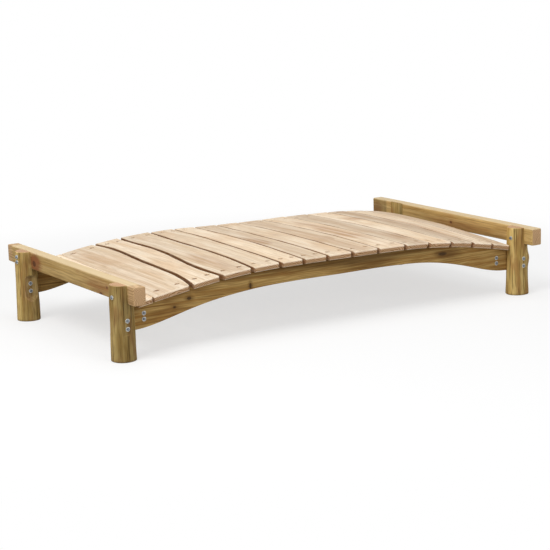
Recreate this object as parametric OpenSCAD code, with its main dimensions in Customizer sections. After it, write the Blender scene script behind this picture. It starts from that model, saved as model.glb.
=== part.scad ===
// Low timber moon bridge: natural-edge boards on two arched beams, four log posts, two end rails.
// Lengths are in millimetres. X runs along the bridge, Y across it, Z up from the ground.

/* [Posts] */
// Diameter of a post at its foot
post_d = 120; // [100:1:150]
// Diameter of a post at its top
post_top_d = 108; // [90:1:130]
// Height of the posts and of the rails' top face
post_h = 355; // [320:1:420]
// Distance between the posts along the bridge, centre to centre
post_span = 2300; // [1800:10:3000]
// Distance between the posts across the bridge, centre to centre
post_spread = 1080; // [800:10:1400]
// Bevel round both ends of a post
post_bevel = 4; // [1:0.5:10]

/* [End rails] */
// Thickness of a rail along the bridge
rail_t = 62; // [50:1:80]
// Height of a rail
rail_h = 88; // [70:1:110]
// How far the rail's seat lies past the post's centre line
rail_seat = 6; // [0:1:15]
// Length of rail that sticks out past the front post's centre
rail_front = 115; // [80:1:200]
// Length of rail that sticks out past the back post's centre
rail_back = 240; // [160:1:320]
// Bevel along a rail's long edges
rail_ease = 7; // [1:0.5:15]

/* [Arched beams] */
// Thickness of a beam across the bridge
beam_t = 45; // [35:1:60]
// How far the beam's seat lies behind the post's centre line
beam_seat = 20; // [10:1:30]
// Height of the level seat in the posts that the beam's end stands on
seat_h = 126; // [90:1:150]
// Depth of a beam at the middle of the bridge
beam_mid = 86; // [70:1:110]
// How late the under side drops towards its seats
drop_bend = 3.3; // [2:0.1:5]
// Radius of the arch that the boards lie on
arch_r = 7150; // [5500:50:12000]
// Length of beam past the post's centre
beam_past = 25; // [10:1:35]

/* [Deck] */
// Height of the walking surface at the middle of the bridge
deck_h = 357; // [330:1:400]
// Thickness of a board
board_t = 28; // [20:1:40]
// Number of boards
board_count = 15; // [10:1:20]
// Gap between two boards
board_gap = 6; // [3:0.5:10]
// How much wider the gap grows between the waviest edges
wavy_gap = 8; // [0:1:12]
// How far a board's ends stick out past the beams
overhang = 37; // [10:1:60]
// Gap between the first board and the left rail
left_gap = 8; // [4:1:20]
// Gap between the last board and the right rail
right_gap = 66; // [60:1:100]
// How much the boards' widths swing about their mean
width_swing = 17; // [0:1:25]
// How far the waviest natural edge wanders sideways
wane = 14; // [0:1:20]
// How far the straighter edges wander sideways
slight_wane = 2.5; // [0:0.5:4]
// How far the most slanted natural edge leans over the board's thickness
seam_lean = 12; // [0:1:18]
// Bevel that stands for the worn upper edges of a board
edge_ease = 5; // [1:0.5:8]
// Bevel at the corners of a board, seen from above
corner_ease = 7; // [1:0.5:12]

/* [Fits] */
// Clearance where a timber sits in or on another
fit = 0.2; // [0.1:0.1:0.5]

/* [Hidden] */
// Boards over which the widths swing once
swing_boards = 7;
// Board at which the swing crosses its mean while widening
swing_start = 2.5;
// Seam with the waviest edges, and how many seams share them
wavy_seam = 2.5;
wavy_spread = 1.3;
// How many seams share the wider gaps
gap_spread = 1.8;
// Seam with the most slanted edges, and how many seams share them
leaning_seam = 11.7;
leaning_spread = 1.1;
// Length of one wave along a natural edge, and its shift from seam to seam, in degrees
wave_len = 980;
wave_shift = 137;
// Stations along a board's edge, and along the under side of a half beam
edge_steps = 16;
arch_steps = 24;

beam_top = deck_h - board_t - fit;
beam_under = beam_top - beam_mid;
arch_z = beam_top - arch_r;
level_from = (post_span - post_d) / 2;
beam_half = post_span / 2 + beam_past;
rail_z = post_h - rail_h;
rail_len = rail_front + post_spread + rail_back;
board_len = post_spread + beam_t + 2 * overhang;
board_y = beam_seat + beam_t / 2;

// Arc length from the crown to the boards' two outer edges
deck_from = arch_len(-post_span / 2 + rail_seat + rail_t + left_gap);
deck_to = arch_len(post_span / 2 + rail_seat - right_gap);
pitch = (deck_to - deck_from + board_gap) / board_count;

// The part's origin lies under the middle of its box
mid_x = (rail_seat + rail_t - post_d / 2) / 2;
mid_y = (rail_back - rail_front) / 2;

timber = [0.66, 0.55, 0.36];
plank = [0.80, 0.68, 0.52];

$fn = 96;

board_names = ["board_01", "board_02", "board_03", "board_04", "board_05", "board_06", "board_07",
    "board_08", "board_09", "board_10", "board_11", "board_12", "board_13", "board_14", "board_15",
    "board_16", "board_17", "board_18", "board_19", "board_20"];

// Arc length on the arch above a point x of the bridge
function arch_len(x) = arch_r * asin(x / arch_r) * PI / 180;

// Height of the beam's under side: level on its seats, and an S-shaped rise to the middle
function under_z(x) =
    let (share = min(1, abs(x) / level_from))
    beam_under - (beam_under - seat_h) * sin(90 * pow(share, drop_bend));

// Arc length of the seam before board i at its middle: even steps, pushed by a slow swing
function swing(i) = width_swing * swing_boards / (2 * PI) * sin(360 * (i - swing_start) / swing_boards);
function seam(i) =
    let (tilt = (swing(board_count) - swing(0)) / board_count)
    deck_from - board_gap / 2 + pitch * i + swing(i) - swing(0) - tilt * i;

// One for a seam between two boards, none for the deck's outer edges, which stay straight
function inner(i) = i == 0 || i == board_count ? 0 : 1;

// Sideways wander of seam i at a place y along the board
function wander(i, y) =
    let (reach = slight_wane + (wane - slight_wane) * exp(-pow((i - wavy_seam) / wavy_spread, 2)))
    inner(i) * reach * sin(360 * y / wave_len + wave_shift * i);

// Gap at seam i
function gap(i) = board_gap + inner(i) * wavy_gap * exp(-pow((i - wavy_seam) / gap_spread, 2));

// How far seam i moves to the left from the boards' upper face to their lower one
function lean(i) = inner(i) * seam_lean * exp(-pow((i - leaning_seam) / leaning_spread, 2));

// Corners of board i's section at a place y, from the lower left over the top to the lower right;
// inset draws both edges in
function section(i, y, inset) =
    let (middle = (seam(i) + seam(i + 1)) / 2,
        left = seam(i) + wander(i, y) + gap(i) / 2 + inset - middle,
        right = seam(i + 1) + wander(i + 1, y) - gap(i + 1) / 2 - inset - middle,
        share = edge_ease / board_t)
    [[left - lean(i), y, 0], [left - share * lean(i), y, board_t - edge_ease],
        [left + edge_ease, y, board_t], [right - edge_ease, y, board_t],
        [right - share * lean(i + 1), y, board_t - edge_ease], [right - lean(i + 1), y, 0]];

module place() { translate([-mid_x, -mid_y, 0]) children(); }

// A log, housed at its top for the rail and at its back for the beam
module post(side, face) {
    color(timber) place() translate([side * post_span / 2, face * post_spread / 2, 0]) difference() {
        rotate_extrude() polygon([[0, 0], [post_d / 2 - post_bevel, 0], [post_d / 2, post_bevel],
            [post_top_d / 2, post_h - post_bevel], [post_top_d / 2 - post_bevel, post_h], [0, post_h]]);
        translate([rail_seat - fit, -post_d, rail_z - fit])
            cube([post_d, 2 * post_d, rail_h + 2 * fit]);
        intersection() {
            translate([-post_d, beam_seat - fit, seat_h - fit])
                cube([2 * post_d, post_d, rail_z - seat_h]);
            translate([-side * post_span / 2, 0, arch_z]) rotate([90, 0, 0])
                cylinder(r = arch_r + fit, h = 2 * post_d, center = true, $fn = 720);
        }
    }
}

// A squared timber with bevelled edges, laid into the tops of one pair of posts
module rail(side) {
    color(timber) place()
        translate([side * post_span / 2 + rail_seat, rail_len - post_spread / 2 - rail_front, rail_z])
            rotate([90, 0, 0]) linear_extrude(rail_len) polygon([
                [rail_ease, 0], [rail_t - rail_ease, 0], [rail_t, rail_ease], [rail_t, rail_h - rail_ease],
                [rail_t - rail_ease, rail_h], [rail_ease, rail_h], [0, rail_h - rail_ease], [0, rail_ease]]);
}

// Side view of a beam: round on top, with an S-shaped rise below
module beam_profile() {
    steps = [for (k = [-arch_steps : arch_steps]) level_from * k / arch_steps];
    intersection() {
        translate([0, arch_z]) circle(r = arch_r, $fn = 720);
        polygon(concat(
            [[-beam_half, beam_top], [-beam_half, seat_h]],
            [for (x = steps) [x, under_z(x)]],
            [[beam_half, seat_h], [beam_half, beam_top]]));
    }
}

module beam(face) {
    color(timber) place() translate([0, face * post_spread / 2 + beam_seat + beam_t, 0])
        rotate([90, 0, 0]) linear_extrude(beam_t) beam_profile();
}

// Board i, flat and touching the arch under its middle, lofted through its sections
module board(i) {
    middle = (seam(i) + seam(i + 1)) / 2;
    straight = board_len - 2 * corner_ease;
    sections = concat([section(i, -board_len / 2, corner_ease)],
        [for (k = [0 : edge_steps]) section(i, straight * (k / edge_steps - 0.5), 0)],
        [section(i, board_len / 2, corner_ease)]);
    n = len(sections[0]);
    spans = len(sections) - 1;
    last = n * spans;
    sides = [for (k = [0 : spans - 1], j = [0 : n - 1])
        let (a = n * k + j, b = n * k + (j + 1) % n) each [[b, a, a + n], [b, a + n, b + n]]];
    color(plank) place() translate([0, board_y, arch_z]) rotate([0, middle / arch_r * 180 / PI, 0])
        translate([0, 0, arch_r + fit]) polyhedron(
            points = [for (corners = sections) each corners],
            faces = concat([[for (j = [0 : n - 1]) j]], [[for (j = [n - 1 : -1 : 0]) last + j]], sides));
}

post(-1, -1);  // post_left_front
post(-1, 1);  // post_left_back
post(1, -1);  // post_right_front
post(1, 1);  // post_right_back
rail(-1);  // rail_left
rail(1);  // rail_right
beam(-1);  // beam_front
beam(1);  // beam_back
for (i = [0 : board_count - 1]) board(i);
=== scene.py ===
# %% [markdown]
# # A moon bridge in treated timber
#
# The bridge is a low arch of fifteen natural-edge boards on two curved beams. Four round posts carry
# the beams, and a squared rail is let into the tops of each pair of posts.
#
# The CAD model gives every piece its size and place. This lesson dresses each piece: it rebuilds the
# timbers with rounded, uneven surfaces, adds the bolts and screws, and gives the wood its grain.

import bpy
import numpy as np
from mathutils import Matrix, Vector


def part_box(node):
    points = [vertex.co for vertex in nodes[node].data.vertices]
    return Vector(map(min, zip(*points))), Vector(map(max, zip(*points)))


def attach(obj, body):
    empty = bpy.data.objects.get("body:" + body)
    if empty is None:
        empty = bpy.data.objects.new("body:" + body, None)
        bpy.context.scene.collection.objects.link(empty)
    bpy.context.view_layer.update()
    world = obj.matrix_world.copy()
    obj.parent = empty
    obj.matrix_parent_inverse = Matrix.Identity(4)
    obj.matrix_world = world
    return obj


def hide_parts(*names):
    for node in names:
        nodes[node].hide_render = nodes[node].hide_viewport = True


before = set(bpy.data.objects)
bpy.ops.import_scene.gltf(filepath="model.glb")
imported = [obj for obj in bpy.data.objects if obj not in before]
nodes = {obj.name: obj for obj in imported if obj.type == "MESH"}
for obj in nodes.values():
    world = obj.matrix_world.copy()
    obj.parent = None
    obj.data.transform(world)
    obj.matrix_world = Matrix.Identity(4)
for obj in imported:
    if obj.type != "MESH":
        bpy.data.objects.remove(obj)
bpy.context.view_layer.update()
MM = 0.001

# %% [markdown]
# ## The camera
#
# A camera is found by fitting: the post feet and the rail ends are projected until they meet the
# same points of a picture. The fit gives a place, three angles and a long lens. Heading is measured
# from +Y towards +X, and the tilt is up or down.

# %% Place the camera
scene = bpy.context.scene
CAMERA_AT = (-4.4473, -7.3875, 1.8769)
HEADING, TILT, ROLL = 0.5448, -0.1974, -0.0305
LENS_MM, SENSOR_MM = 110.93, 36.0


def placed(right, up, back, at):
    """A placing matrix whose columns are three directions and a place."""
    place = np.eye(4)
    place[:3] = np.stack([right, up, back, at], 1)
    return Matrix(place.tolist())


view = np.array([np.sin(HEADING) * np.cos(TILT), np.cos(HEADING) * np.cos(TILT), np.sin(TILT)])
level = np.array([np.cos(HEADING), -np.sin(HEADING), 0.0])
lift = np.cross(level, view)
right, up = np.cos(ROLL) * level + np.sin(ROLL) * lift, np.cos(ROLL) * lift - np.sin(ROLL) * level
camera_data = bpy.data.cameras.new("camera")
camera_data.lens, camera_data.sensor_width = LENS_MM, SENSOR_MM
camera = bpy.data.objects.new("camera", camera_data)
camera.matrix_world = placed(right, up, -view, CAMERA_AT)
scene.collection.objects.link(camera)
scene.camera = camera
print("camera at", CAMERA_AT, "lens", LENS_MM, "mm")

# %% [markdown]
# ## From numbers to shader colours
#
# Colours are easiest to choose as sRGB hex values, but shaders work in linear light. One function
# converts them. Another adds a shader node: it sets the node's options, and each input is either a
# plain value or the output of another node.

# %% Helpers for materials
def to_linear(hex_colour):
    """Linear RGBA of an sRGB hex colour: the sRGB curve undone channel by channel."""
    srgb = np.array([int(hex_colour[i:i + 2], 16) for i in (1, 3, 5)]) / 255
    linear = np.where(srgb <= 0.04045, srgb / 12.92, ((srgb + 0.055) / 1.055) ** 2.4)
    return (*linear.tolist(), 1.0)


def new_finish(name):
    """A new material, with its node tree and its main shader."""
    finish = bpy.data.materials.new(name)
    finish.use_nodes = True
    return finish, finish.node_tree, finish.node_tree.nodes["Principled BSDF"]


def add(tree, kind, inputs=None, out=0, stops=(), **settings):
    """Adds one shader node and gives back one output; inputs are values or other nodes' outputs."""
    node = tree.nodes.new("ShaderNode" + kind)
    for key, value in settings.items():
        setattr(node, key, value)
    for key, value in (inputs or {}).items():
        if isinstance(value, bpy.types.NodeSocket):
            tree.links.new(value, node.inputs[key])
        else:
            node.inputs[key].default_value = value
    for number, (place, colour) in enumerate(stops):
        ramp = node.color_ramp.elements
        stop = ramp[number] if number < len(ramp) else ramp.new(place)
        stop.position, stop.color = place, to_linear(colour)
    return node.outputs[out]


# %% [markdown]
# ## Timber as a material
#
# Grain belongs to the log a timber was sawn from, not to the timber's faces. So every piece carries
# an attribute called grain: two coordinates across its log, measured from the pith, and one along it.
# Growth rings are then simply the distance from the pith, bent a little along the log. Where a saw
# cuts along the log the rings show as long bands, and where it cuts across they show as circles.
#
# On top of the rings come long streaks, soft patches of drier or wetter treatment, fine fibres and
# knots. Worn edges are paler, and the rails' tops are painted paler as a painted highlight. The bark
# layer is inner bark on the boards' edges, and painted shade on the beams under the boards, at the
# posts' feet, in their planed recesses and in the counterbores. Sawn ends have two colours of their
# own.

# %% A shader for any timber of the bridge
# Sizes across and along the log
FIBRE_MM, PORE_MM, BEND_MM = (1.6, 90), (5, 240), (60, 420)
# How far the pith wanders in metres, the knots' cells per metre, a knot's halo in knot sizes
PITH_WANDER, KNOT_CELLS, HALO = 0.045, (9.0, 9.0, 3.3), 2.6


def timber(name, colours, sizes, amounts, bump_mm, knots=(), stains=()):
    """A timber shader. Sizes are in mm, amounts run from 0 to 1. Knots and stains are placed ones:
    a middle and half sizes along x, y and z in metres, and for a stain its strength."""
    finish, tree, shader = new_finish(name)
    tint = {key: to_linear(value) for key, value in colours.items()}
    read = {key: add(tree, "Attribute", out="Fac", attribute_name=key)
            for key in ("tone", "heart", "bark", "end", "worn")}
    grain = add(tree, "Attribute", out="Vector", attribute_name="grain")
    where = add(tree, "TexCoord", out="Object")

    # Noise drawn out along the log: its size across and along the log, its detail and its output
    noise = {}
    for key, (across, along), detail, out in (
            ("streak", sizes["streak"], 4, "Fac"), ("patch", sizes["patch"], 2, "Fac"),
            ("fibre", FIBRE_MM, 3, "Fac"), ("pore", PORE_MM, 3, "Fac"), ("bend", BEND_MM, 2, "Color")):
        pace = (1 / (across * MM), 1 / (across * MM), 1 / (along * MM))
        drawn = add(tree, "VectorMath", {0: grain, 1: pace}, operation="MULTIPLY")
        noise[key] = add(tree, "TexNoise", {"Vector": drawn, "Scale": 1.0, "Detail": detail,
                                            "Roughness": 0.6}, out)

    # The pith wanders, so the growth rings bend along the log
    shift = add(tree, "VectorMath", {0: noise["bend"], 1: (-0.5, -0.5, -0.5)}, operation="ADD")
    bent = add(tree, "VectorMath", {0: shift, 1: (PITH_WANDER, PITH_WANDER, 0.0), 2: grain},
               operation="MULTIPLY_ADD")
    flat = add(tree, "VectorMath", {0: bent, 1: (1, 1, 0)}, operation="MULTIPLY")
    radius = add(tree, "VectorMath", {0: flat}, "Value", operation="LENGTH")
    turns = add(tree, "Math", {0: radius, 1: 2 * np.pi / (sizes["ring"] * MM)}, operation="MULTIPLY")
    wave = add(tree, "Math", {0: turns}, operation="SINE")

    # Knots are the middles of a stretched cell pattern, kept only where a cell's draw is high
    cells = add(tree, "VectorMath", {0: bent, 1: KNOT_CELLS}, operation="MULTIPLY")
    near = add(tree, "TexVoronoi", {"Vector": cells, "Scale": 1.0, "Randomness": 1.0}, "Distance")
    draw = add(tree, "SeparateColor", {0: near.node.outputs["Color"]})

    # Masks: a value between two limits, spread smoothly over 0 to 1 or another range
    mask = {}
    for key, value, low, high, least, most in (
            ("ring", wave, -0.6, 1.0, 0, 1), ("saw", wave, -0.8, 0.9, 0, 1),
            ("streak", noise["streak"], 0.36, 0.66, 0, 1),
            ("broken", noise["streak"], 0.25, 0.62, 0.45, 1),
            ("patch", noise["patch"], 0.46, 0.70, 0, 1), ("fray", noise["patch"], 0.3, 0.7, -0.3, 0.3),
            ("pore", noise["pore"], 0.50, 0.72, 0, 1), ("flake", noise["pore"], 0.3, 0.6, 0.75, 1),
            ("fine", noise["fibre"], 0.25, 0.75, 1 - amounts["fibre"], 1 + amounts["fibre"]),
            ("gloss", noise["streak"], 0.3, 0.7, 0.62, 0.80),
            ("kept", draw, 1 - amounts["knots"], 1.05 - amounts["knots"], 0, 1),
            ("core", near, 0.16, 0.06, 0, 1), ("halo", near, 0.42, 0.10, 0, 1),
            ("bark", read["bark"], amounts["bark_from"], 1.0, 0, amounts["bark"])):
        mask[key] = add(tree, "MapRange", {"Value": value, "From Min": low, "From Max": high,
                                           "To Min": least, "To Max": most},
                        interpolation_type="SMOOTHSTEP")
    for key in ("core", "halo"):
        mask[key] = add(tree, "Math", {0: mask["kept"], 1: mask[key]}, operation="MULTIPLY")

    # Placed marks: the distance from a middle in half sizes, its edge frayed by the patches
    mask["stain"] = read["heart"]
    marks = [("core", middle, half, 0.5, 1.0) for middle, half in knots]
    marks += [("halo", middle, tuple(HALO * size for size in half), 0.2, 1.0) for middle, half in knots]
    marks += [("stain", middle, half, 0.2, strength) for middle, half, strength in stains]
    for key, middle, half, inner, strength in marks:
        apart = add(tree, "VectorMath", {0: where, 1: middle}, operation="SUBTRACT")
        steps = add(tree, "VectorMath", {0: apart, 1: half}, operation="DIVIDE")
        away = add(tree, "VectorMath", {0: steps}, "Value", operation="LENGTH")
        frayed = add(tree, "Math", {0: away, 1: mask["fray"]}, operation="ADD")
        spot = add(tree, "MapRange", {"Value": frayed, "From Min": 1.0, "From Max": inner,
                                      "To Max": strength}, interpolation_type="SMOOTHSTEP")
        mask[key] = add(tree, "Math", {0: mask[key], 1: spot}, operation="MAXIMUM")
    mask["stain"] = add(tree, "Math", {0: mask["stain"], 1: mask["broken"]}, operation="MULTIPLY")
    mask["bark"] = add(tree, "Math", {0: mask["bark"], 1: mask["flake"]}, operation="MULTIPLY")

    # Brightness of each fibre and of the whole piece, and the sawn ends' own colour
    shade = add(tree, "Math", {0: mask["fine"], 1: read["tone"]}, operation="MULTIPLY")
    grey = add(tree, "CombineColor", {0: shade, 1: shade, 2: shade})
    sawn = add(tree, "Mix", {0: mask["saw"], 6: tint["end_pale"], 7: tint["end_dark"]}, 2,
               data_type="RGBA")

    # Colours laid over each other: how they blend, a mask, an amount and a colour
    colour = tint["pale"]
    for blend, share, amount, layer in (
            ("MIX", mask["streak"], 1.0, tint["mid"]),
            ("MIX", mask["patch"], amounts["warm"], tint["warm"]),
            ("MIX", mask["stain"], 1.0, tint["stain"]),
            ("MIX", mask["pore"], amounts["streak"], tint["dark"]),
            ("MIX", mask["ring"], amounts["ring"], tint["dark"]),
            ("MIX", mask["halo"], 0.55, tint["stain"]),
            ("MIX", mask["core"], 0.75, tint["knot"]),
            ("MULTIPLY", 1.0, 1.0, grey),
            # Worn edges are paler, and on the rails the whole top is paler as a painted highlight
            ("MIX", read["worn"], amounts["worn"], tint["worn"]),
            # Inner bark on the boards' natural edges, and painted shade on the beams, the posts and in
            # the counterbores
            ("MIX", mask["bark"], 1.0, tint["bark"]),
            ("MIX", read["end"], 1.0, sawn)):
        factor = add(tree, "Math", {0: share, 1: amount}, operation="MULTIPLY")
        colour = add(tree, "Mix", {0: factor, 6: colour, 7: layer}, 2, data_type="RGBA",
                     blend_type=blend)

    # Fibres stand up a little, the soft part of a ring sinks, knots bulge
    height = add(tree, "Math", {0: noise["fibre"], 1: 0.6}, operation="MULTIPLY")
    for part, amount in ((mask["ring"], -0.3), (mask["halo"], 0.5)):
        height = add(tree, "Math", {0: part, 1: amount, 2: height}, operation="MULTIPLY_ADD")
    bump = add(tree, "Bump", {"Height": height, "Distance": bump_mm * MM, "Strength": 0.8})
    for key, socket in (("Base Color", colour), ("Normal", bump), ("Roughness", mask["gloss"])):
        tree.links.new(socket, shader.inputs[key])
    shader.inputs["Specular IOR Level"].default_value = 0.2
    return finish


# %% [markdown]
# ## Four finishes
#
# All timbers share the shader. Each finish has its own colours, sizes and amounts, and a few knots
# and stains at given places on the bridge.

# %% The four timber finishes
# Peeled log, pressure treated: yellowish olive tan with brown streaks and pinkish sawn faces; its
# dark brown paints shade at the feet and in the planed recesses
log_finish = timber(
    "treated_pine_log",
    {"pale": "#c6ab6c", "mid": "#a08145", "dark": "#483312", "warm": "#9d7442", "stain": "#94683c",
     "worn": "#dcc19a", "bark": "#4b371f", "knot": "#412a15",
     "end_pale": "#d3ab88", "end_dark": "#b0875f"},
    {"ring": 6.0, "streak": (22, 260), "patch": (60, 150)},
    {"knots": 0.30, "streak": 0.85, "warm": 0.75, "ring": 0.14, "fibre": 0.12, "worn": 0.4,
     "bark_from": 0.0, "bark": 1.0}, bump_mm=1.2,
    knots=[((1.191, -0.641, 0.190), (0.016, 0.016, 0.018)),
           ((-1.11, -0.655, 0.045), (0.012, 0.012, 0.014))])
# Squared rail, sawn and treated: the same timber, with its top painted paler as a painted highlight,
# and a reddish figure at its knots
rail_finish = timber(
    "sawn_treated_rail",
    {"pale": "#cdad70", "mid": "#b18e53", "dark": "#75522b", "warm": "#a17242", "stain": "#955f38",
     "worn": "#e3cda6", "bark": "#4a2c1a", "knot": "#46291a",
     "end_pale": "#d3ae84", "end_dark": "#b08a62"},
    {"ring": 7.0, "streak": (16, 480), "patch": (80, 260)},
    {"knots": 0.16, "streak": 0.45, "warm": 0.5, "ring": 0.22, "fibre": 0.12, "worn": 0.8,
     "bark_from": 0.0, "bark": 0.0}, bump_mm=0.8,
    knots=[((-1.148, -0.447, 0.312), (0.02, 0.014, 0.010)),
           ((-1.148, -0.380, 0.272), (0.02, 0.018, 0.009)),
           ((-1.148, 0.385, 0.300), (0.02, 0.020, 0.016)),
           ((1.152, -0.031, 0.305), (0.02, 0.014, 0.010))],
    stains=[((-1.148, 0.385, 0.300), (0.03, 0.095, 0.065), 1.3),
            ((-1.148, -0.36, 0.310), (0.03, 0.20, 0.05), 0.6),
            ((1.152, -0.10, 0.290), (0.03, 0.50, 0.05), 0.4),
            ((1.152, 0.68, 0.300), (0.03, 0.06, 0.06), 0.7)])
# Curved beam: the same sawn timber, browner, with olive bands and dark knots; its darkest brown
# paints the shade under the boards
beam_finish = timber(
    "sawn_treated_beam",
    {"pale": "#c19f60", "mid": "#9b743b", "dark": "#5d4019", "warm": "#8a5f2b", "stain": "#66451c",
     "worn": "#c4a671", "bark": "#553a12", "knot": "#2e1c0e",
     "end_pale": "#a98657", "end_dark": "#7d5e38"},
    {"ring": 8.0, "streak": (15, 420), "patch": (70, 300)},
    {"knots": 0.20, "streak": 0.55, "warm": 0.65, "ring": 0.30, "fibre": 0.14, "worn": 0.2,
     "bark_from": 0.40, "bark": 0.8}, bump_mm=0.8,
    knots=[((-0.873, -0.5825, 0.205), (0.015, 0.02, 0.010)),
           ((-0.795, -0.5825, 0.236), (0.012, 0.02, 0.008)),
           ((-0.462, -0.5825, 0.252), (0.006, 0.02, 0.014)),
           ((0.675, -0.5825, 0.264), (0.030, 0.02, 0.010))],
    stains=[((0.70, -0.5825, 0.262), (0.12, 0.03, 0.035), 0.8),
            ((1.08, -0.5825, 0.18), (0.10, 0.03, 0.12), 0.4),
            ((0.22, -0.5825, 0.27), (0.25, 0.03, 0.06), 0.7)])
# Natural-edge board: pale cream sapwood with pinkish and grey-brown heartwood, worn by feet
board_finish = timber(
    "natural_edge_board",
    {"pale": "#f1e0c8", "mid": "#e3cbac", "dark": "#a98a67", "warm": "#d8b793", "stain": "#b58e6c",
     "worn": "#f5e6cf", "bark": "#875a30", "knot": "#6a4a2e",
     "end_pale": "#cba580", "end_dark": "#91693f"},
    {"ring": 7.5, "streak": (24, 620), "patch": (130, 420)},
    {"knots": 0.12, "streak": 0.32, "warm": 0.5, "ring": 0.16, "fibre": 0.10, "worn": 0.7,
     "bark_from": 0.0, "bark": 1.0}, bump_mm=0.8,
    stains=[((-0.53, -0.33, 0.34), (0.075, 0.34, 0.06), 0.55),
            ((-0.115, -0.06, 0.36), (0.05, 0.20, 0.06), 0.9),
            ((0.355, -0.03, 0.35), (0.085, 0.46, 0.06), 0.9),
            ((0.54, -0.38, 0.33), (0.055, 0.24, 0.06), 0.85),
            ((0.70, 0.24, 0.32), (0.08, 0.12, 0.06), 0.8),
            ((0.86, -0.10, 0.31), (0.06, 0.50, 0.06), 0.8)])
print("timber finishes:", log_finish.name, rail_finish.name, beam_finish.name, board_finish.name)

# %% [markdown]
# ## Curves and unevenness
#
# A smooth curve runs through a node's points, and a few sine waves added up make a face uneven.

# %% Helpers for curves
# Each piece takes its grain from another place along a log, at most this many metres away
GRAIN_FAR = 40


def in_log(across, up, along, draw):
    """Grain coordinates: two across the log, and one along it from a random place."""
    return np.stack([across, up, along + draw.uniform(-GRAIN_FAR, GRAIN_FAR)], -1)


def node_points(name):
    """The corner points of a CAD node, one row each of x, y and z in metres, without repeats."""
    vertices = nodes[name].data.vertices
    points = np.empty(len(vertices) * 3, np.float32)
    vertices.foreach_get("co", points)
    return np.unique(np.round(points.reshape(-1, 3).astype(float), 6), axis=0)


def smooth(at, xs, ys):
    """A curve through (xs, ys): cubic spans whose slopes come from the neighbouring points."""
    slope = np.gradient(ys, xs)
    k = np.clip(np.searchsorted(xs, at) - 1, 0, len(xs) - 2)
    step = xs[k + 1] - xs[k]
    t = (at - xs[k]) / step
    return (ys[k] * (1 + 2 * t) * (1 - t) ** 2 + slope[k] * step * t * (1 - t) ** 2
            + ys[k + 1] * t * t * (3 - 2 * t) + slope[k + 1] * step * t * t * (t - 1))


def ripple(u, v, size, seed):
    """Soft unevenness of about -1 to 1: six sine waves of about one size in random directions."""
    draw = np.random.default_rng(seed)
    way, shift = draw.uniform(0, 2 * np.pi, (2, 6))
    pace = 2 * np.pi / (size * draw.uniform(0.7, 1.5, 6))
    u, v = np.broadcast_arrays(u, v)
    place = u[..., None] * np.cos(way) + v[..., None] * np.sin(way)
    return np.sin(pace * place + shift).sum(-1) / 3.5


# %% [markdown]
# ## Building closed timbers
#
# A timber is a loft: the same closed outline, called a ring, is set at many stations along the piece
# and the rings are joined by quads. Each ring runs along the upper face from one side to the other
# and back along the lower face, so the end caps are strips that join each upper point to the lower
# point beneath it. Rounded edges are quarter circles in the ring, and rounded ends are the last few
# rings drawn in.

# %% Helpers for lofts
def half_ring(left, right, radius, columns):
    """Half a rounded section from left to right: places across, and their drop from the face."""
    angle = np.linspace(0, np.pi / 2, 5)
    corner, drop = radius * (1 - np.cos(angle)), radius * (1 - np.sin(angle))
    flat = left + radius + (right - left - 2 * radius) * columns
    return (np.concatenate([left + corner, flat, right - corner[::-1]], axis=-1),
            np.concatenate([drop, np.zeros(len(columns)), drop[::-1]]))


def stations(start, stop, radius, count, extra=()):
    """Columns of places and insets: quarter circles at the ends, even and extra places between."""
    angle = np.linspace(0, np.pi / 2, 5)
    edge, inset = radius * (1 - np.cos(angle)), radius * (1 - np.sin(angle))
    inner = np.sort(np.concatenate([np.linspace(start, stop, count), extra]))
    inner = inner[(inner > start + 1.2 * radius) & (inner < stop - 1.2 * radius)]
    return (np.concatenate([start + edge, inner, stop - edge[::-1]])[:, None],
            np.concatenate([inset, np.zeros(len(inner)), inset[::-1]])[:, None])


def whole(upper, lower):
    """Whole rings: the upper half from side to side, then the lower half on the way back."""
    return np.concatenate([upper, lower[:, ::-1]], 1)


def loft_quads(rings, size):
    """Quads of a closed loft: a band between each two rings, and a strip of quads over each end."""
    here = np.arange(size)
    after = (here + 1) % size
    start = np.arange(rings - 1)[:, None] * size
    bands = np.stack([start + here, start + after, start + size + after, start + size + here], -1)
    half = np.arange(size // 2 - 1)
    cap = np.stack([half, half + 1, size - 2 - half, size - 1 - half], -1)
    return np.concatenate([bands.reshape(-1, 4), cap[:, ::-1], cap + (rings - 1) * size])


# %% [markdown]
# ## From points to a piece
#
# A mesh with a negative volume is turned outward. Its attributes go to the shader, and the CAD
# nodes that the piece stands for are hidden.

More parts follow.
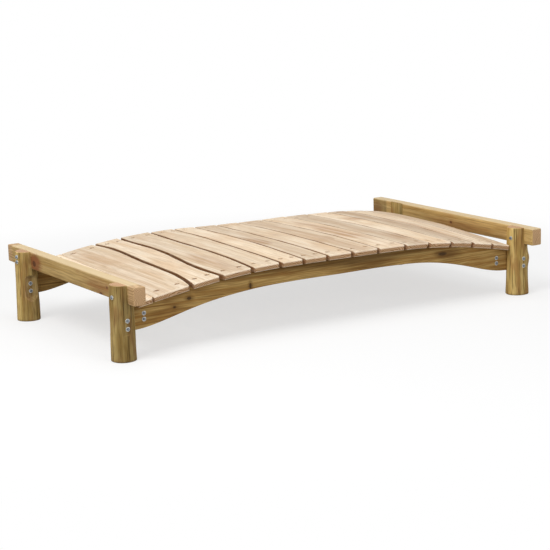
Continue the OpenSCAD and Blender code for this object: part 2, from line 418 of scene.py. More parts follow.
# %% Helper for pieces
def add_piece(name, points, quads, finish, slot, replaced=(), sharp=40, **attributes):
    """A mesh object from points and quads, with its attributes, body and CAD nodes. The slot is not
    used.
    """
    points = points.reshape(-1, 3)
    corners = points[quads]
    volume = (np.einsum("ij,ij->", corners[:, 0], np.cross(corners[:, 1], corners[:, 2]))
              + np.einsum("ij,ij->", corners[:, 0], np.cross(corners[:, 2], corners[:, 3])))
    quads = quads if volume > 0 else quads[:, ::-1]
    mesh = bpy.data.meshes.new(name)
    mesh.vertices.add(len(points))
    mesh.vertices.foreach_set("co", points.astype(np.float32).ravel())
    mesh.loops.add(quads.size)
    mesh.loops.foreach_set("vertex_index", quads.astype(np.int32).ravel())
    mesh.polygons.add(len(quads))
    mesh.polygons.foreach_set("loop_start", np.arange(0, quads.size, 4, dtype=np.int32))
    mesh.update(calc_edges=True)
    for key, values in attributes.items():
        values = np.asarray(values, np.float32)
        vector = values.ndim > 0 and values.shape[-1] == 3 and values.size == points.size
        layer = mesh.attributes.new(key, "FLOAT_VECTOR" if vector else "FLOAT", "POINT")
        full = values if vector else np.broadcast_to(values.reshape(-1), len(points))
        layer.data.foreach_set("vector" if vector else "value", np.ascontiguousarray(full).ravel())
    mesh.materials.append(finish)
    mesh.shade_smooth()
    mesh.set_sharp_from_angle(angle=np.radians(sharp))
    mesh.validate()
    piece = bpy.data.objects.new(name, mesh)
    scene.collection.objects.link(piece)
    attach(piece, "root")
    if replaced:
        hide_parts(*replaced)
    print(name, len(quads), "quads")


# %% [markdown]
# ## How the deck settles
#
# A bridge of natural timber never lies quite true. The boards hump a little in the middle, the arch
# leans and waves, its back edge sags past the middle, and its right end kicks up. One smooth function
# of the place on the deck gives this shift in height. The beams' tops and the boards both use it, so
# the boards stay on their beams.

# %% The shared settling of beams and boards
board_names = sorted(name for name in nodes if name.startswith("board_"))
deck_low = np.min([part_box(name)[0] for name in board_names], axis=0)
deck_high = np.max([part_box(name)[1] for name in board_names], axis=0)
deck_mid, deck_half = (deck_low + deck_high) / 2, (deck_high - deck_low) / 2
LEAN_MM, WAVE_MM, TWIST_MM, CROWN_MM, SAG_MM, KICK_MM = 5.5, 6.5, 9.0, 8.0, 13.0, (4.0, 16.0)
WAVE_LONG, WAVE_DIP = 1.1, 0.05
SAG_AT, SAG_LONG, KICK_FROM = 0.27, 0.46, 0.5


def settle(x, y):
    """Height shift: a lean, a wave, a twist, a hump along the boards, a sag behind and a kick."""
    along = (x - deck_mid[0]) / deck_half[0]
    across = (y - deck_mid[1]) / deck_half[1]
    back = np.clip((1 + across) / 2, 0, 1)
    wave = -np.cos(2 * np.pi * (along - WAVE_DIP) / WAVE_LONG)
    twist = across * along ** 2 * (1 + 0.6 * along)
    sag = np.exp(-((along - SAG_AT) / SAG_LONG) ** 2) * back ** 1.5
    rise = np.clip((along - KICK_FROM) / (1 - KICK_FROM), 0, 1)
    behind = np.clip(1 + across, 0, 1) * (1 - 0.5 * across ** 4)
    kick = rise ** 2 * (3 - 2 * rise) * (KICK_MM[0] + KICK_MM[1] * behind)
    return MM * (LEAN_MM * along + WAVE_MM * wave + TWIST_MM * twist + CROWN_MM * (1 - across ** 2)
                 - SAG_MM * sag + kick)


print("deck from", np.round(deck_low, 3), "to", np.round(deck_high, 3))

# %% [markdown]
# ## The deck boards
#
# Each board is a plank sawn from a log with its natural edges left on, so its sides wave and slope.
# The boards are fanned a little, as they lie on the real bridge: each seam slides along the bridge,
# turns and bows. Two screws hold each end, in counterbores that are real dishes.

# %% Sizes and tones of the deck boards
SCREW_SHARE = np.array([0.26, 0.79])
SCREW_REACH = 72 * MM
DISH_R, DISH_FLAT_R, DISH_DEEP = 13.5 * MM, 10.5 * MM, 6.0 * MM
BOARD_ROUND, BOARD_LOW_ROUND, BOARD_END_ROUND = 6 * MM, 3 * MM, 9 * MM
BOARD_RINGS, BOARD_COLUMNS, BARK_FROM_END = 72, 13, 16 * MM
# How far the sawn ends vary, and how uneven the edges, their slope and the upper face are
END_VARY_MM, EDGE_ROUGH, SLOPE_ROUGH, FACE_ROUGH = 5, 0.9 * MM, 1.2 * MM, 0.7 * MM
EDGE_WAVES, FACE_WAVE = (0.07, 0.06, 0.25, 0.25), 0.22
# How far each side of a seam has shrunk, and the one seam that has closed up instead
SEAM_OPEN, TIGHT_SEAM, TIGHT_CLOSED = 2.0 * MM, 1, -4.6 * MM
# Seams from this one on have shrunk less and stay closer
CLOSE_FROM, CLOSE_SEAM = 9, 0.8 * MM
# How far seams slide, how far the first one turns at its ends, and how far two seams bow, all in mm
SLIDE_SEAM, SLIDE_MM = (0, 1, 2, 3, 4.5, 8.5, 11, 14, 15), (0, -10, 16, 29, 45, 50, 38, 28, 0)
FAN_MM, BOW_MM = 42.0, {2: 38.0, 3: -13.0}
# How pale each board is, and how much heartwood shows in it
TONES = dict(zip(board_names, (
    (1.20, 0.00), (0.96, 0.25), (1.03, 0.05), (0.95, 0.15), (0.98, 0.05),
    (1.08, 0.00), (0.94, 0.30), (1.03, 0.10), (0.97, 0.50), (1.07, 0.15),
    (0.92, 0.40), (1.13, 0.00), (0.90, 0.55), (1.10, 0.05), (0.96, 0.40))))
# Extra places close to a screw, so that its counterbore comes out round
NEAR = np.array([-15, -13.5, -12, -10.5, -7, -3.5, 0, 3.5, 7, 10.5, 12, 13.5, 15]) * MM
print("boards:", len(TONES))

# %% [markdown]
# ### Reading a plank back
#
# A straight line fitted to a CAD plank's points in side view gives its slope. The least and the
# greatest place across it at each station give its edges.

# %% Read the planks and move their seams
def plank(name):
    """A flat CAD plank: its under side's line in side view, and its edges station by station."""
    points = node_points(name)
    side = points[:, [0, 2]]
    axis = np.linalg.svd(side - side.mean(0))[2][0]
    level = (side - side.mean(0)) @ np.array([-axis[1], axis[0]]) * np.sign(axis[0])
    under = side[level < level.min() + 2 * MM]
    middle = under.mean(0)
    axis = np.linalg.svd(under - middle)[2][0]
    axis = axis * np.sign(axis[0])
    normal = np.array([-axis[1], axis[0]])
    across, rise = (side - middle) @ axis, (side - middle) @ normal
    places = np.unique(np.round(points[:, 1], 4))
    here = np.abs(points[:, 1][None] - places[:, None]) < MM
    upper, lower = here & (rise > 5 * MM), here & (rise < MM)
    edges = [np.where(rows, across, fill).min(1) if fill > 0 else np.where(rows, across, fill).max(1)
             for rows in (upper, lower) for fill in (np.inf, -np.inf)]
    # The corners are rounded later, so here each edge runs straight on to the ends
    for edge in edges:
        for end, inner, next_in in ((0, 1, 2), (-1, -2, -3)):
            slope = (edge[inner] - edge[next_in]) / (places[inner] - places[next_in])
            edge[end] = edge[inner] + slope * (places[end] - places[inner])
    return middle, axis, normal, places, edges, rise.max()


def seam_shift(seam, y):
    """How far a seam moves along the bridge: a slide, a turn that fades to the right, and a bow."""
    across = (y - deck_mid[1]) / deck_half[1]
    fan = FAN_MM * (1 - seam / len(board_names)) * (seam > 0)
    bow = BOW_MM.get(seam, 0.0) * (1 - across ** 2)
    return MM * (np.interp(seam, SLIDE_SEAM, SLIDE_MM) + fan * across + bow)


# %% [markdown]
# ### One board
#
# A board's section is drawn at each station between its two edges, then laid on its plank's slope
# and settled. Bark stays on the natural edges, and the counterbores are darkened with painted shade.

# %% Build the deck boards
screw_places, screw_axes = [], []


def build_board(name, seed):
    """A lofted plank: rounded section at each station, sloping natural edges, dished screw seats."""
    draw = np.random.default_rng(seed)
    middle, axis, normal, places, edges, high = plank(name)
    first = board_names.index(name)
    opened = [TIGHT_CLOSED if seam == TIGHT_SEAM else SEAM_OPEN if seam < CLOSE_FROM else CLOSE_SEAM
              for seam in (first, first + 1)]
    moved = (seam_shift(first, places) + opened[0], seam_shift(first + 1, places) - opened[1]) * 2
    edges = [edge + shift for edge, shift in zip(edges, moved)]
    start = places[0] + draw.uniform(0, END_VARY_MM) * MM
    stop = places[-1] - draw.uniform(0, END_VARY_MM) * MM
    screw_y = np.array([start + SCREW_REACH, stop - SCREW_REACH])
    y, inset = stations(start, stop, BOARD_END_ROUND, BOARD_RINGS, (screw_y[:, None] + NEAR).ravel())
    left, far, low_left, low_far = (smooth(y, places, edge) for edge in edges)
    width = (far - left).mean()
    columns = np.unique(np.concatenate([np.linspace(0.04, 0.96, BOARD_COLUMNS),
                                        (SCREW_SHARE[:, None] + NEAR / width).ravel()]))
    # Natural edges: rough along their length, and a little uneven in how they slope
    waves = np.stack([ripple(y, 0.0, size, seed + n) for n, size in enumerate(EDGE_WAVES, 1)])
    rough, slopes = EDGE_ROUGH * np.abs(waves[:2]), SLOPE_ROUGH * (1 + waves[2:])
    top_across, top_drop = half_ring(left + inset + rough[0], far - inset - rough[1],
                                     BOARD_ROUND, columns)
    low_across, low_drop = half_ring(low_left + inset + slopes[0], low_far - inset - slopes[1],
                                     BOARD_LOW_ROUND, columns)
    centre = (left + far) / 2
    cup = draw.uniform(-1.0, 1.4) * MM * (1 - (2 * (top_across - centre) / width) ** 2)
    uneven = FACE_ROUGH * ripple(top_across, y, FACE_WAVE, seed + 5) + cup
    # Counterbores: a cone between two radii, flat inside
    screw_left, screw_right = (smooth(screw_y, places, edge)[:, None] for edge in edges[:2])
    screw_across = screw_left + SCREW_SHARE * (screw_right - screw_left)
    away = np.hypot(top_across[..., None] - screw_across.ravel(),
                    y[..., None] - np.repeat(screw_y, 2))
    dish = DISH_DEEP * np.clip((DISH_R - away.min(-1)) / (DISH_R - DISH_FLAT_R), 0, 1)
    top_rise = high - top_drop - inset + (uneven - dish) * (inset == 0)
    low_rise = low_drop + inset * 0.6 + 0 * low_across
    across, rise = whole(top_across, low_across), whole(top_rise, low_rise)
    deep = np.broadcast_to(y, across.shape)
    x = middle[0] + across * axis[0] + rise * normal[0]
    z = middle[1] + across * axis[1] + rise * normal[1]
    z = z + settle(x, deep)
    points = np.stack([x, deep, z], -1)
    # The log's own frame: the pith lies below the board and off to one side
    pith = np.array([draw.uniform(-0.07, 0.07), draw.uniform(-0.16, -0.05)])
    grain = in_log(across - pith[0], rise - pith[1], deep, draw)
    end = np.zeros(across.shape)
    end[[0, -1]] = 1
    worn = whole(np.broadcast_to(top_drop / BOARD_ROUND, top_across.shape), 0 * low_across)
    upper = np.concatenate([top_drop < 0.5 * BOARD_ROUND, low_drop > 1])
    worn = np.clip(1.6 * worn * (worn < 0.7) + 0.5 * (inset > 0) * upper, 0, 1)
    # The screws sit on the floors of the counterbores
    screw_deep, screw_side = np.repeat(screw_y, 2), screw_across.ravel()
    face_x = middle[0] + screw_side * axis[0] + high * normal[0]
    face_z = middle[1] + screw_side * axis[1] + high * normal[1]
    screw_places.append(np.stack([face_x - DISH_DEEP * normal[0], screw_deep,
                                  face_z - DISH_DEEP * normal[1] + settle(face_x, screw_deep)], -1))
    screw_axes.append(np.tile([normal[0], 0.0, normal[1]], (4, 1)))
    # Inner bark on the natural edges, thinning out towards the sawn ends, and painted shade in the
    # counterbores
    from_end = np.clip(np.minimum(y - start, stop - y) / BARK_FROM_END, 0.85, 1)
    edge = from_end * np.clip(2 * top_drop / BOARD_ROUND - 0.1, 0, 1)
    # A tight seam shows hardly any bark
    tight = np.where(top_across < centre, first, first + 1) == TIGHT_SEAM
    edge = np.where(tight & (from_end >= 1), 0.25 * edge, edge)
    bark = whole(np.maximum(edge, np.clip(1.2 * dish / DISH_DEEP, 0, 1)),
                 from_end * np.clip(2 * low_drop / BOARD_LOW_ROUND, 0, 1))
    tone, share = TONES[name]
    heart = share * np.exp(-(((across - centre) / width - draw.uniform(-0.2, 0.2)) / 0.3) ** 2)
    add_piece("deck_" + name, points, loft_quads(*across.shape), board_finish, "deck_boards", [name],
              grain=grain, end=end, worn=worn, bark=bark, heart=heart, tone=tone)


for number, name in enumerate(board_names):
    build_board(name, 100 + 10 * number)

# %% [markdown]
# ## The curved beams
#
# A curved beam is sawn from a wide plank: round on top, with an S-shaped rise below. The top is an
# arc, so three of its points give its radius: half the chord squared plus the sag squared, over twice
# the sag. The lower edge is read from the CAD node's points.

# %% Build the beams
def arch_of(points):
    """The arc through a beam's top: its middle, crown height and radius from the chord and the sag."""
    first = points[points[:, 0] < points[:, 0].min() + 1e-5]
    middle, crown = (points[:, 0].min() + points[:, 0].max()) / 2, points[:, 2].max()
    chord, sag = np.ptp(points[:, 0]) / 2, crown - first[:, 2].max()
    return middle, crown, (chord ** 2 + sag ** 2) / (2 * sag)


def arc_height(x, middle, crown, radius):
    """Height of the arc above x: the crown, less the radius, plus the circle's own height."""
    return crown - radius + np.sqrt(radius ** 2 - (x - middle) ** 2)


# The right part of the beams is sawn a little shallower
CROOK_MM, CROOK_AT, CROOK_LONG = 12.0, 0.66, 0.32
# How strong the painted shade under the boards' overhang is on the beams, at places along the bridge
DECK_SHADE_AT, DECK_SHADE = (-0.9, -0.3, 0.1, 0.5, 0.9), (0.7, 1.0, 1.5, 1.1, 0.3)
BEAM_ROUND, BEAM_END_ROUND, BEAM_RINGS, BEAM_COLUMNS = 4 * MM, 3 * MM, 170, 7
# How far below the arc the under side's points begin, how wavy it is sawn, the beams' tone
# and the height of their log's middle
UNDER_FROM, SAW_WAVE, BEAM_TONE, BEAM_HEART_Z = 0.03, 0.8 * MM, 1.1, 0.2


def build_beam(name, seed):
    """A beam lofted along X: an arc above, the CAD's under side below, rounded edges, saw waves."""
    draw = np.random.default_rng(seed)
    points = node_points(name)
    arc = arch_of(points)
    low_points = points[points[:, 2] < arc_height(points[:, 0], *arc) - UNDER_FROM]
    places, first = np.unique(np.round(low_points[:, 0], 5), return_index=True)
    under = low_points[first, 2]
    x, inset = stations(points[:, 0].min(), points[:, 0].max(), BEAM_END_ROUND, BEAM_RINGS)
    near, away = points[:, 1].min() + inset, points[:, 1].max() - inset
    across, drop = half_ring(near, away, BEAM_ROUND, np.linspace(0.06, 0.94, BEAM_COLUMNS))
    top = arc_height(x, *arc) - drop - inset + settle(x, across)
    crook = CROOK_MM * MM * np.exp(-((x - CROOK_AT) / CROOK_LONG) ** 2)
    bottom = smooth(x, places, under) + drop + inset + crook + SAW_WAVE * ripple(x, 0.0, 0.4, seed + 1)
    y, z = whole(across, across), whole(top, bottom)
    deep = np.broadcast_to(x, y.shape)
    pith = draw.uniform(0.04, 0.09, 2) * np.array([1, -1])
    grain = in_log(y - points[:, 1].mean() - pith[0], z - BEAM_HEART_Z - pith[1], deep, draw)
    end = np.zeros(y.shape)
    end[[0, -1]] = 1
    edge = np.clip(1 - np.abs(drop / BEAM_ROUND - 0.3) / 0.3, 0, 1)
    worn = np.concatenate([edge, 0 * drop]) * np.ones(y.shape)
    # Painted shade under the boards' overhang: strongest at the top, none at the under side
    deck_shade = whole(np.interp(x, DECK_SHADE_AT, DECK_SHADE) * np.ones(across.shape), 0 * across)
    add_piece("arched_" + name, np.stack([deep, y, z], -1), loft_quads(*y.shape), beam_finish,
              "beam_timber", [name], grain=grain, end=end, worn=worn, bark=deck_shade, heart=0.0,
              tone=BEAM_TONE)


for number, name in enumerate(("beam_front", "beam_back")):
    build_beam(name, 400 + 10 * number)

# %% [markdown]
# ## The end rails
#
# Each rail is a squared timber with its long edges eased. Its top is uneven by a millimetre or so, as
# a sawn timber gets when it dries.

# %% Build the rails
RAIL_TONES = {"rail_left": 1.03, "rail_right": 1.2}
RAIL_ROUND, RAIL_END_ROUND, RAIL_RINGS, RAIL_COLUMNS = 7 * MM, 5 * MM, 130, 9
RAIL_ROUGH = 0.6 * MM
# The left rail is freshly sawn and pinkish for this length at both ends
FRESH_ENDS, FRESH, FRESH_FADE = {"rail_left": 60 * MM, "rail_right": 0.0}, 0.75, 10 * MM
# The right rail is darker from this place on, past a painted shadow line across its inner face
DARK_FROM, DARK_STEP, PAINTED_SHADOW_LINE = {"rail_left": np.inf, "rail_right": 0.59}, 0.34, 0.4
DARK_FADE, INNER_FACE = 8 * MM, 8 * MM


def build_rail(name, seed):
    """A rail lofted along Y: a rounded rectangle with eased ends and an uneven top."""
    draw = np.random.default_rng(seed)
    low, high = np.array(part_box(name))
    y, inset = stations(low[1], high[1], RAIL_END_ROUND, RAIL_RINGS)
    across, drop = half_ring(low[0] + inset, high[0] - inset, RAIL_ROUND,
                             np.linspace(0.06, 0.94, RAIL_COLUMNS))
    top = high[2] - drop - inset - RAIL_ROUGH * (1 + ripple(across, y, 0.4, seed + 1))
    bottom = low[2] + drop + inset + 0 * across
    x, z = whole(across, across), whole(top, bottom)
    deep = np.broadcast_to(y, x.shape)
    pith = draw.uniform(0.02, 0.05, 2) * np.array([1, -1])
    grain = in_log(x - (low[0] + high[0]) / 2 - pith[0], z - (low[2] + high[2]) / 2 - pith[1],
                   deep, draw)
    from_end = np.minimum(deep - low[1], high[1] - deep)
    end = FRESH * np.clip((FRESH_ENDS[name] - from_end) / FRESH_FADE, 0, 1)
    end[[0, -1]] = 1
    past = (deep - DARK_FROM[name]) / DARK_FADE
    # A painted shadow line across the inner face, as in the crease beside the back post
    line = np.exp(-past ** 2) * (x < low[0] + INNER_FACE)
    shade = DARK_STEP * np.clip(past, 0, 1) + PAINTED_SHADOW_LINE * line
    # The whole top is painted pale as a painted highlight, fading over the eased edges
    worn = np.concatenate([np.clip(1 - drop / RAIL_ROUND, 0, 1), 0 * drop]) * np.ones(x.shape)
    add_piece("end_" + name, np.stack([x, deep, z], -1), loft_quads(*x.shape), rail_finish,
              "rail_timber", [name], grain=grain, end=end, worn=worn, bark=0.0, heart=0.0,
              tone=RAIL_TONES[name] * (1 - shade))


for number, name in enumerate(("rail_left", "rail_right")):
    build_rail(name, 500 + 10 * number)

# %% [markdown]
# ## The log posts
#
# A post is a peeled log: round, a little thinner at the top, with lobes and bumps where branches
# grew. Its rings of points run round the log. A ring is cut flat where the rail's lap or the beam's
# housing was sawn away: every point past the cut is brought back to it. Two rings close together
# make each shoulder. On the bolts' side the log is planed flat, so that the washers can sit.

# %% Build the posts
BOLT_Z = np.array([155, 193]) * MM
PLANE_LOW, PLANE_HIGH = 0.128, 0.226
BUMP_WIDE, BUMP_TALL = 34 * MM, 32 * MM
# Each post's rail and beam, how deep its bolt face is planed in mm, its branch bump (angle, height and
# mm), its foot's flare in mm and its tone
POSTS = {"post_left_front": ("rail_left", "beam_front", 2.0, (0.6, 0.23, 3.0), 0.0, 1.0),
         "post_left_back": ("rail_left", "beam_back", 11.0, (3.6, 0.10, 3.0), 0.0, 1.36),
         "post_right_front": ("rail_right", "beam_front", 2.0, (-0.65, 0.19, 8.0), 1.5, 1.48),
         "post_right_back": ("rail_right", "beam_back", 2.0, (2.2, 0.16, 3.0), 0.0, 1.0)}
# The right back post is planed to a thin cheek beside its rail
CHEEK_POST, CHEEK, CHEEK_TONE = "post_right_back", 3 * MM, 0.2
POST_POINTS, POST_RINGS, POST_ROUND = 144, 90, 4 * MM
# The beam's housing ends this far below the rail; the log's lobes, and how far up the flare and
# the painted contact shadow at the foot reach
SHOULDER, LOBE, FLARE_TALL, FOOT_SHADE_TALL = 10 * MM, 0.9 * MM, 45 * MM, 14 * MM
# The front of each log is painted darker than its sides by this share: painted shade
FRONT_SHADE = 0.32
post_flats = {}


def build_post(name, rail, beam, plane_mm, bump, flare_mm, tone, seed):
    """A log of rings: tapered, lobed, bumped, and cut back flat at its lap, housing and bolt face."""
    draw = np.random.default_rng(seed)
    low, high = np.array(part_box(name))
    centre = (low + high) / 2
    points = node_points(name)
    top = points[points[:, 2] > high[2] - 8 * MM]
    foot_r, top_r = (high[1] - low[1]) / 2, np.ptp(top[:, 1]) / 2
    lap_x, lap_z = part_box(rail)[0][0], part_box(rail)[0][2]
    seat_y, seat_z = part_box(beam)[0][1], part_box(beam)[0][2]
    shoulder = lap_z - SHOULDER
    cuts = np.array([seat_z, shoulder, lap_z])[:, None] + np.array([-0.05, 0.05]) * MM
    z, inset = stations(low[2], high[2], POST_ROUND, POST_RINGS, cuts.ravel())
    angle = (np.arange(POST_POINTS) + 0.5) * 2 * np.pi / POST_POINTS
    radius = foot_r + (top_r - foot_r) * (z - low[2]) / (high[2] - low[2])
    waves = np.cos(2 * angle + draw.uniform(0, 6)) + np.cos(3 * angle + draw.uniform(0, 6))
    dents = ripple(radius * np.cos(angle) * 4 + 0.2 * np.sin(angle), z, 0.16, seed + 1)
    lobes = LOBE * (waves + dents) - 1.2 * MM
    turn_off = np.angle(np.exp(1j * (angle - bump[0])))
    knob = bump[2] * MM * np.exp(-(turn_off * foot_r / BUMP_WIDE) ** 2
                                 - ((z - bump[1]) / BUMP_TALL) ** 2)
    flare = flare_mm * MM * np.exp(-(z / FLARE_TALL) ** 2)
    radius = radius + lobes + knob + flare - inset
    x, y = radius * np.cos(angle), radius * np.sin(angle)
    # The planed bolt face ends in a steep cut above and runs out slowly below
    face = foot_r - POST_ROUND - plane_mm * MM
    fade = 1.2 * np.clip(z - PLANE_HIGH, 0, 1) + 0.45 * np.clip(PLANE_LOW - z, 0, 1)
    planed = np.clip((-face - fade - y) / MM, 0, 1) * (plane_mm > 5)
    y = np.maximum(y, -face - fade)
    y = np.where((z > seat_z) & (z < shoulder), np.minimum(y, seat_y - centre[1]), y)
    x = np.where(z > lap_z, np.minimum(x, lap_x - centre[0]), x)
    if name == CHEEK_POST:
        x = np.maximum(x, lap_x - centre[0] - CHEEK - 2.0 * np.clip(lap_z - 5 * MM - z, 0, 1))
        tone = tone * (1 + CHEEK_TONE * (z > lap_z) * np.ones(x.shape))
    # Painted shade on the front of the log, fading over its rounded ends
    front = np.clip(-1.4 * np.sin(angle) - 0.4, 0, 1) * (1 - inset / POST_ROUND)
    deep = np.broadcast_to(z, x.shape)
    post_flats[name] = (centre, face)
    grain = in_log(x - 6 * MM, y + 4 * MM, deep, draw)
    end = 2.4 * planed * (1 - planed) + 0.15 * planed
    end[[0, -1]] = 1
    worn = np.broadcast_to(np.clip(inset / POST_ROUND, 0, 1) * (z > centre[2]), x.shape)
    # Painted shade: a dark band at the foot stands for its contact shadow, and the planed recess is
    # darker
    foot_and_recess_shade = np.maximum(0.6 * np.clip(1 - z / FOOT_SHADE_TALL, 0, 1), 0.3 * (planed > 0.9))
    add_piece("log_" + name, np.stack([x + centre[0], y + centre[1], deep], -1), loft_quads(*x.shape),
              log_finish, "post_timber", [name], grain=grain, end=end, worn=worn, bark=foot_and_recess_shade, heart=0.0,
              tone=tone * (1 - FRONT_SHADE * front))


for number, (name, settings) in enumerate(POSTS.items()):
    build_post(name, *settings, 600 + 10 * number)

# %% [markdown]
# ## Bolts and screws
#
# Hot-dip galvanised bolts hold the timbers: two through each post and its beam, one or two through
# each post and its rail, and a pair of coach screws in each beam beside the post.

# %% Make the galvanised finish
def galvanised(name, dark, pale):
    """Dull grey zinc: metal with soft blotches of brightness and roughness."""
    finish, tree, shader = new_finish(name)
    place = add(tree, "TexCoord", out="Object")
    spangle = add(tree, "TexNoise", {"Vector": place, "Scale": 1 / (4 * MM), "Detail": 2.0}, "Fac")
    colour = add(tree, "ValToRGB", {0: spangle}, stops=[(0.3, dark), (0.7, pale)])
    gloss = add(tree, "MapRange", {"Value": spangle, "To Min": 0.35, "To Max": 0.55})
    tree.links.new(colour, shader.inputs["Base Color"])
    tree.links.new(gloss, shader.inputs["Roughness"])
    shader.inputs["Metallic"].default_value = 0.9
    return finish


# Hot-dip galvanised washers, pale grey
steel_finish = galvanised("galvanised_steel", "#b0b2b0", "#d6d8d6")
# The same zinc, darker, on bolt heads and deck screws: painted shade, so that each head looks sunk in
# shadow
screw_finish = galvanised("shade_darkened_zinc", "#5d6064", "#8e9296")
print("metal finishes:", steel_finish.name, screw_finish.name)

# %% [markdown]
# ### Turned profiles
#
# A fixing is a profile turned about its axis. A hexagon is a circle whose radius grows towards the
# corners: the distance to a flat side, over the cosine of the angle from that side's middle.

# %% Turn the profiles
TURN_POINTS = 24
HEX_FLAT, HEX_TALL, WASHER_R, WASHER_TALL = 6.5 * MM, 5.5 * MM, 10.5 * MM, 1.8 * MM


def turned(places, axes, profile, hexagon=False):
    """Solids of revolution at places along axes: profile gives (radius, height) ring by ring."""
    places, axes, profile = np.asarray(places), np.asarray(axes), np.asarray(profile)
    side = np.cross(axes, np.where(np.abs(axes[:, 2:]) > 0.7, [[0.0, 1.0, 0.0]], [[0.0, 0.0, 1.0]]))
    side = side / np.linalg.norm(side, axis=1, keepdims=True)
    other = np.cross(axes, side)
    angle = (np.arange(TURN_POINTS) + 0.5) * 2 * np.pi / TURN_POINTS
    radius = profile[:, 0][:, None] * np.ones(TURN_POINTS)
    if hexagon:
        corner = 1 / np.cos((angle + np.pi / 6) % (np.pi / 3) - np.pi / 6)
        radius = np.minimum(radius * corner, profile[:, 2][:, None])
    points = (places[:, None, None] + axes[:, None, None] * profile[:, 1][None, :, None, None]
              + side[:, None, None] * (radius * np.cos(angle))[None, ..., None]
              + other[:, None, None] * (radius * np.sin(angle))[None, ..., None])
    quads = loft_quads(len(profile), TURN_POINTS)
    shift = np.arange(len(places))[:, None, None] * len(profile) * TURN_POINTS
    return points.reshape(-1, 3), (quads[None] + shift).reshape(-1, 4)


# Washers are sunk a little into the timber so that no gap shows, and a head's corners are chamfered
RIM = HEX_FLAT / np.cos(np.pi / 6)
WASHER = [(WASHER_R, -1.5 * MM), (WASHER_R, WASHER_TALL - 0.4 * MM), (WASHER_R - 0.5 * MM, WASHER_TALL)]
HEAD = [(HEX_FLAT, 0.0, RIM), (HEX_FLAT, WASHER_TALL + HEX_TALL - 1.0 * MM, RIM),
        (HEX_FLAT, WASHER_TALL + HEX_TALL, HEX_FLAT * 0.97)]
SCREW = [(6.5 * MM, -2 * MM), (6.5 * MM, 0.6 * MM), (5.2 * MM, 1.8 * MM),
         (2.8 * MM, 2.6 * MM), (0.8 * MM, 2.8 * MM)]
print("rings in the profiles:", len(WASHER), len(HEAD), len(SCREW))

# %% [markdown]
# ### Where the fixings sit
#
# Washers lie on the posts' planed faces and on the faces of the beams and rails.

# %% Place the fixings
FRONT, LEFT = np.array([0.0, -1.0, 0.0]), np.array([-1.0, 0.0, 0.0])
# The log's radius at the rail bolts, how far they lie off its middle, and their heights
RAIL_BOLT_R, RAIL_BOLT_Y = 55 * MM, -15 * MM
FRONT_RAIL_Z, BACK_RAIL_Z = (0.302,), (0.305, 0.331)
SCREW_PAIR_STEP, SCREW_PAIR_Z = 121 * MM, (0.200, 0.172)
heads, ways = [], []
for name, (rail, beam, *_) in POSTS.items():
    centre, face = post_flats[name]
    for z in BOLT_Z:
        heads += [(centre[0], centre[1] - face, z), (centre[0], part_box(beam)[1][1], z)]
        ways += [FRONT, -FRONT]
    for z in FRONT_RAIL_Z if "front" in name else BACK_RAIL_Z:
        reach = np.sqrt(RAIL_BOLT_R ** 2 - RAIL_BOLT_Y ** 2)
        # Beside the cheek only the outer bolt shows
        spots = [(centre[0] - reach, LEFT), (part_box(rail)[1][0], -LEFT)][name == CHEEK_POST:]
        heads += [(x, centre[1] + RAIL_BOLT_Y, z) for x, _ in spots]
        ways += [way for _, way in spots]
    # A pair of coach screws beside the post, on the beam's outer face
    inward, outer = -np.sign(centre[0]), int("back" in name)
    for z in SCREW_PAIR_Z:
        heads.append((centre[0] + inward * SCREW_PAIR_STEP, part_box(beam)[outer][1], z))
        ways.append(-FRONT if outer else FRONT)
add_piece("bolt_washers", *turned(heads, ways, WASHER), steel_finish, "galvanised_fixings", sharp=30)
add_piece("bolt_heads", *turned(heads, ways, HEAD, hexagon=True), screw_finish, "galvanised_fixings",
          sharp=30)
points, quads = turned(np.concatenate(screw_places), np.concatenate(screw_axes), SCREW)
add_piece("deck_screws", points, quads, screw_finish, "galvanised_fixings", sharp=30)

# %% [markdown]
# ## The floor
#
# The bridge stands on a plain white floor that fades into the white behind it.

# %% Make the floor
FLOOR_BOUNCE, FLOOR_SEEN = "#c4c4c4", "#f6f6f6"
FADE_FROM, FADE_TO, NEAR_WHITE = 1.7, 3.2, 0.64
FLOOR_HALF, FLOOR_Z = 30.0, -0.5 * MM


def direct_rays(tree):
    """1 for rays that are seen, also in metal or through glass, and 0 for those that carry light."""
    rays = add(tree, "LightPath").node.outputs
    seen = rays["Is Camera Ray"]
    for ray in ("Is Glossy Ray", "Is Transmission Ray"):
        seen = add(tree, "Math", {0: seen, 1: rays[ray]}, operation="MAXIMUM")
    return seen


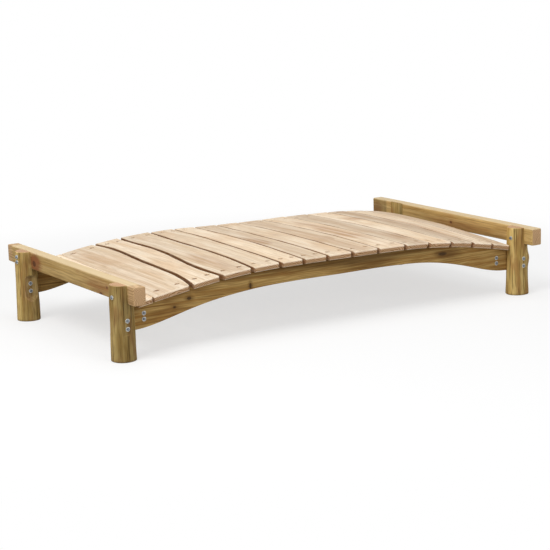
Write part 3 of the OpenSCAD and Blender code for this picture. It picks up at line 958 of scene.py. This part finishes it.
def floor_finish():
    """White paper: matt, but where it is seen mixed with its own white, more so far from the bridge."""
    finish, tree, shader = new_finish("white_floor")
    seen = direct_rays(tree)
    tint = add(tree, "Mix", {0: seen, 6: to_linear(FLOOR_BOUNCE), 7: to_linear(FLOOR_SEEN)}, 2,
               data_type="RGBA")
    tree.links.new(tint, shader.inputs["Base Color"])
    shader.inputs["Roughness"].default_value = 0.9
    shader.inputs["Specular IOR Level"].default_value = 0.0
    spot = add(tree, "TexCoord", out="Object")
    away = add(tree, "VectorMath", {0: spot}, "Value", operation="LENGTH")
    white = add(tree, "MapRange", {"Value": away, "From Min": FADE_FROM, "From Max": FADE_TO,
                                   "To Min": NEAR_WHITE}, interpolation_type="SMOOTHSTEP")
    white = add(tree, "Math", {0: white, 1: seen}, operation="MULTIPLY")
    glow = add(tree, "Emission", {"Color": to_linear("#ffffff"), "Strength": 1.0})
    blend = add(tree, "MixShader", {0: white, 1: shader.outputs[0], 2: glow})
    tree.links.new(blend, tree.nodes["Material Output"].inputs["Surface"])
    return finish


floor_mesh = bpy.data.meshes.new("floor")
floor_corners = [(x * FLOOR_HALF, y * FLOOR_HALF, FLOOR_Z)
                 for x, y in ((-1, -1), (1, -1), (1, 1), (-1, 1))]
floor_mesh.from_pydata(floor_corners, [], [(0, 1, 2, 3)])
floor_mesh.materials.append(floor_finish())
floor = bpy.data.objects.new("floor", floor_mesh)
scene.collection.objects.link(floor)
print("floor:", 2 * FLOOR_HALF, "m wide")

# %% [markdown]
# ## The light
#
# A big soft light above and to the left lights the deck and the left faces. One hangs over the deck,
# a weaker one fills the front, and the surroundings are an even white.

# %% Lights and surroundings
LIGHT_AIM, SKY_LIGHT = (0.0, 0.0, 0.2), 0.30


def area_light(name, at, size, power):
    """A square soft light at a place, turned so that it faces the bridge."""
    data = bpy.data.lights.new(name, "AREA")
    data.size, data.energy = size, power
    lamp = bpy.data.objects.new(name, data)
    away = np.array(at) - np.array(LIGHT_AIM)
    away = away / np.linalg.norm(away)
    side = np.cross([0.0, 0.0, 1.0], away)
    side = side / np.linalg.norm(side)
    lamp.matrix_world = placed(side, np.cross(away, side), away, at)
    scene.collection.objects.link(lamp)
    print("light", name, power, "W")


area_light("key", (-4.5, -2.5, 6.5), 4.0, 370)
area_light("top", (0.5, 0.5, 7.0), 5.0, 145)
area_light("fill", (1.5, -7.0, 2.5), 4.0, 95)

world = bpy.data.worlds.new("white_surroundings")
world.use_nodes = True
scene.world = world
sky = world.node_tree
strength = add(sky, "MapRange", {"Value": direct_rays(sky), "To Min": SKY_LIGHT, "To Max": 1.0})
sky.links.new(strength, sky.nodes["Background"].inputs["Strength"])
sky.nodes["Background"].inputs["Color"].default_value = to_linear("#ffffff")
scene.view_settings.view_transform = "Standard"
